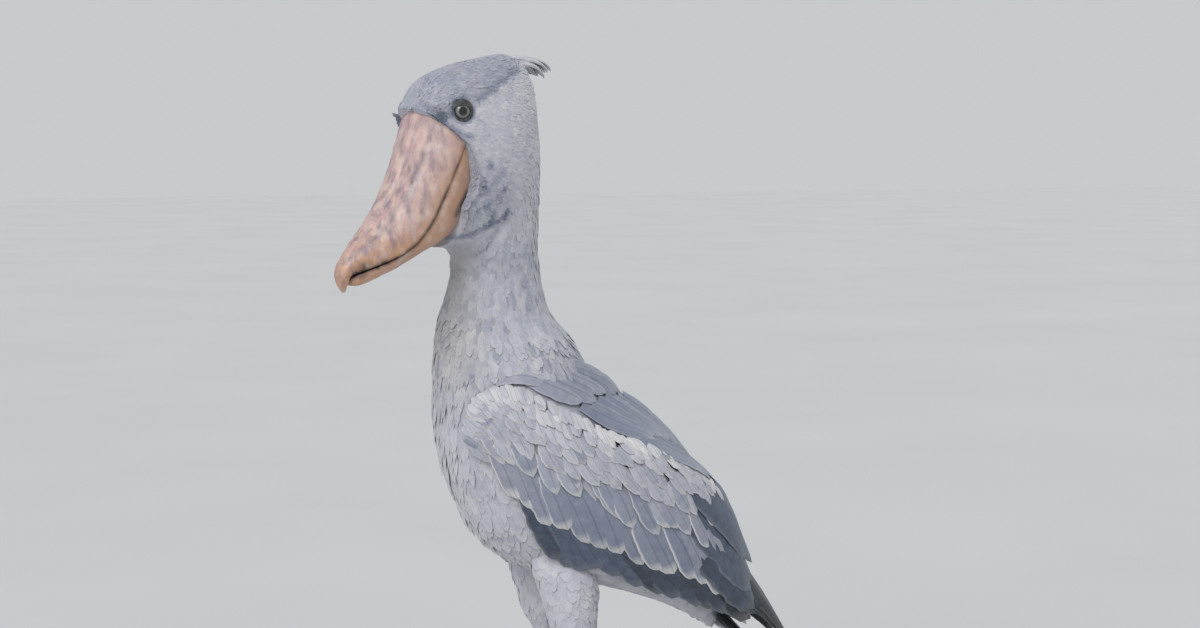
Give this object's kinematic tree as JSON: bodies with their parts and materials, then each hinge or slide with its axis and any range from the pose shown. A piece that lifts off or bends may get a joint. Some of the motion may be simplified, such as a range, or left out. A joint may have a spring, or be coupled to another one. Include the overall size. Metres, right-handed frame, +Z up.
{
  "type": "standing shoebill model",
  "caption": "Life-size model of a standing shoebill with a huge clog-shaped hooked bill, folded wings, long bare legs and spread toes.",
  "frame": {"origin": "on the floor under the middle of the bounding box", "axes": "+Z up, the breast looks along -Y, the left side is +X"},
  "size_m": [0.311, 0.6234, 1.0994],
  "materials": {
    "plumage": "soft blue-grey body feathers, paler on cheeks, breast and wing coverts",
    "flight_feathers": "dark slate flight and tail feathers",
    "bill_horn": "satin horn, pink and tan with mauve-grey mottling",
    "eye": "wet, pale iris with a black pupil",
    "leg_skin": "scaly dark grey-brown skin",
    "claw_horn": "dark horn"
  },
  "bodies": {
    "root": {"head": "plumage", "neck": "plumage", "torso": "plumage", "crest": "plumage", "tail": "flight_feathers", "bill_upper": "bill_horn", "bill_lower": "bill_horn", "eye_left": "eye", "wing_left": "plumage", "thigh_left": "plumage", "shank_left": "leg_skin", "foot_left": "leg_skin", "toe_inner_left": "leg_skin", "claw_inner_left": "claw_horn", "toe_middle_left": "leg_skin", "claw_middle_left": "claw_horn", "toe_outer_left": "leg_skin", "claw_outer_left": "claw_horn", "toe_hind_left": "leg_skin", "claw_hind_left": "claw_horn", "eye_right": "eye", "wing_right": "plumage", "thigh_right": "plumage", "shank_right": "leg_skin", "foot_right": "leg_skin", "toe_inner_right": "leg_skin", "claw_inner_right": "claw_horn", "toe_middle_right": "leg_skin", "claw_middle_right": "claw_horn", "toe_outer_right": "leg_skin", "claw_outer_right": "claw_horn", "toe_hind_right": "leg_skin", "claw_hind_right": "claw_horn"}
  },
  "joints": []
}
